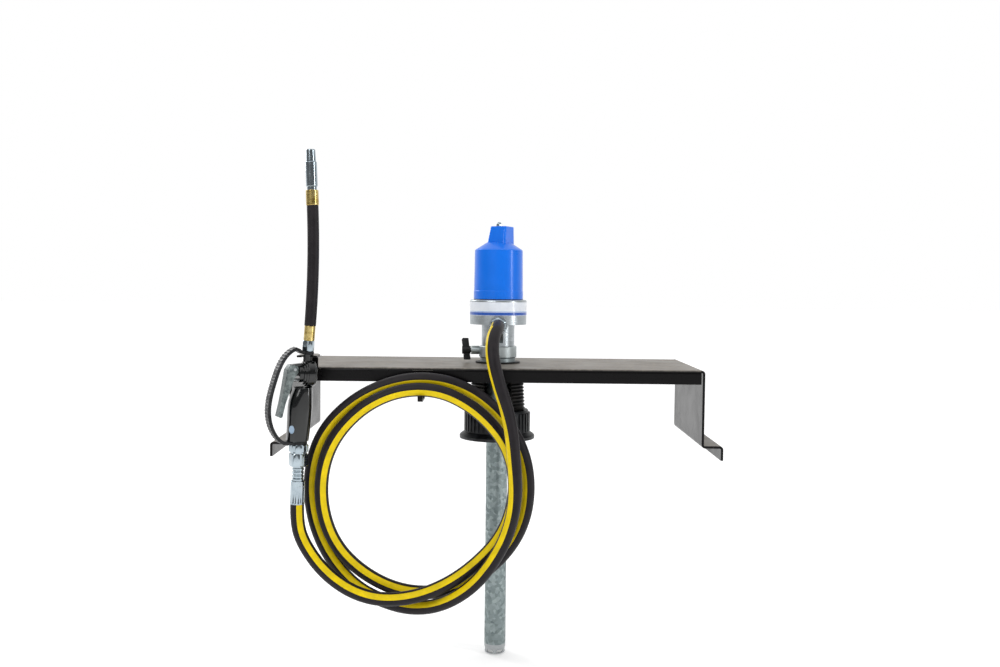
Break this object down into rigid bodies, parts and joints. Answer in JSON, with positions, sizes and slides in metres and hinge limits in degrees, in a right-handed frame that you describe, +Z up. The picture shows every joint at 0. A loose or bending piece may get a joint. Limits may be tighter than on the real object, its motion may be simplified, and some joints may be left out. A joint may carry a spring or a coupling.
{
  "type": "gear oil pump",
  "caption": "Air-operated oil pump on a black bent-sheet bridge bracket, with a suction tube, dust boot, loosely looped delivery hose and control gun with flexible nozzle.",
  "frame": {"origin": "on the pump's axis, at the level of the undersides of the bridge's feet", "axes": "+Z up along the pump's axis, +X to the right seen from the hose side, +Y to the rear, away from the hose"},
  "size_m": [0.744, 0.3428, 0.8631],
  "materials": {
    "black_sheet": "gloss black powder coat on bent steel sheet",
    "blue_cover": "gloss blue paint",
    "cast_aluminium": "machined and cast aluminium",
    "grey_casting": "tumbled die-cast aluminium",
    "label_white": "white band with a plain blue stripe",
    "nickel_steel": "bright nickel plated steel",
    "zinc_steel": "galvanised steel tube",
    "machined_steel": "turned steel",
    "brass": "turned brass",
    "bronze": "bearing bronze",
    "hose_rubber": "black rubber hose cover with a yellow stripe",
    "seal_rubber": "black nitrile rubber",
    "boot_rubber": "moulded black rubber",
    "black_plastic": "moulded black nylon",
    "gun_black": "gloss black enamel on die casting",
    "pressed_steel": "pressed plated steel",
    "felt": "silencer felt",
    "mesh_steel": "perforated steel"
  },
  "bodies": {
    "pump_and_bridge": {"mounting_bridge": "black_sheet", "gun_hanger": "black_sheet", "hose_hook": "black_sheet", "bracket_fasteners": "black_sheet", "motor_cover": "blue_cover", "base_casting": "cast_aluminium", "label_band": "label_white", "exhaust_muffler": "felt", "cover_gasket": "seal_rubber", "cover_stud": "machined_steel", "cover_nut": "nickel_steel", "motor_cylinder": "cast_aluminium", "cylinder_head": "cast_aluminium", "cylinder_seal": "seal_rubber", "rod_bush": "bronze", "rod_seal": "seal_rubber", "air_inlet_adaptor": "brass", "suction_tube": "zinc_steel", "foot_valve_body": "machined_steel", "ball_stop_pin": "machined_steel", "suction_strainer": "mesh_steel", "bung_adaptor": "grey_casting", "adaptor_washer": "seal_rubber", "adaptor_locknut": "grey_casting", "tube_bellows": "boot_rubber", "boot_collar": "black_plastic", "outlet_adaptor": "nickel_steel", "outlet_nut": "nickel_steel", "pump_end_ferrule": "nickel_steel", "delivery_hose": "hose_rubber", "gun_end_ferrule": "nickel_steel"},
    "piston_train": {"air_piston": "cast_aluminium", "piston_seal": "seal_rubber", "pump_rod": "machined_steel", "rod_nut": "machined_steel", "pump_plunger": "machined_steel", "plunger_seal": "seal_rubber", "plunger_valve_seat": "machined_steel"},
    "upper_ball": {"plunger_ball": "machined_steel"},
    "foot_ball": {"foot_valve_ball": "machined_steel"},
    "air_valve": {"valve_spool": "machined_steel", "trip_rod": "machined_steel"},
    "pad": {"clamp_pad": "brass"},
    "wing": {"wing_screw": "black_plastic"},
    "gun": {"swivel_nut": "nickel_steel", "inlet_fitting": "nickel_steel", "gun_grip": "gun_black", "gun_head": "gun_black", "valve_cap": "gun_black", "valve_spring": "machined_steel", "trigger_pin": "machined_steel", "trigger_guard": "black_plastic", "outlet_hex": "nickel_steel", "extension_ferrules": "brass", "extension_hose": "hose_rubber", "nozzle_body": "nickel_steel", "nozzle_tip": "nickel_steel"},
    "sleeve": {"nozzle_sleeve": "nickel_steel"},
    "lever": {"trigger": "pressed_steel"},
    "stem": {"valve_stem": "machined_steel"}
  },
  "joints": [
    {"name": "piston_stroke", "type": "slide", "parent": "pump_and_bridge", "child": "piston_train", "axis": [0, 0, 1], "range_m": [0, 0.05]},
    {"name": "upper_ball_lift", "type": "slide", "parent": "piston_train", "child": "upper_ball", "axis": [0, 0, 1], "range_m": [0, 0.0018]},
    {"name": "foot_ball_lift", "type": "slide", "parent": "pump_and_bridge", "child": "foot_ball", "axis": [0, 0, 1], "range_m": [0, 0.0035]},
    {"name": "air_valve_shift", "type": "slide", "parent": "pump_and_bridge", "child": "air_valve", "axis": [0, 0, 1], "range_m": [0, 0.008]},
    {"name": "pad_release", "type": "slide", "parent": "pump_and_bridge", "child": "pad", "axis": [-1, 0, 0], "range_m": [0, 0.00256]},
    {"name": "wing_screw_turn", "type": "hinge", "parent": "pad", "child": "wing", "pos_m": [-0.05, 0, 0.15], "axis": [-1, 0, 0], "range_deg": [0, 720]},
    {"name": "gun_swivel", "type": "hinge", "parent": "pump_and_bridge", "child": "gun", "pos_m": [-0.3175, -0.178, -0.088], "axis": [0.0262, 0, 0.9997], "range_deg": [-60, 0]},
    {"name": "trigger_pull", "type": "hinge", "parent": "gun", "child": "lever", "pos_m": [-0.32223, -0.184, 0.1282], "axis": [0.5, -0.866, -0.0131], "range_deg": [0, 6], "stiffness_Nm_per_rad": 4, "springref_deg": -2.86},
    {"name": "valve_stem_push", "type": "slide", "parent": "gun", "child": "stem", "axis": [0.8657, 0.5001, -0.0227], "range_m": [0, 0.0018]},
    {"name": "nozzle_twist", "type": "hinge", "parent": "gun", "child": "sleeve", "pos_m": [-0.29607, -0.1729, 0.42695], "axis": [-0.0384, 0, 0.9993], "range_deg": [0, 90]}
  ],
  "couplings": [
    {"joint": "pad_release", "follows": "wing_screw_turn", "m_per_rad": 0.00019894},
    {"joint": "valve_stem_push", "follows": "trigger_pull", "m_per_rad": 0.017}
  ]
}
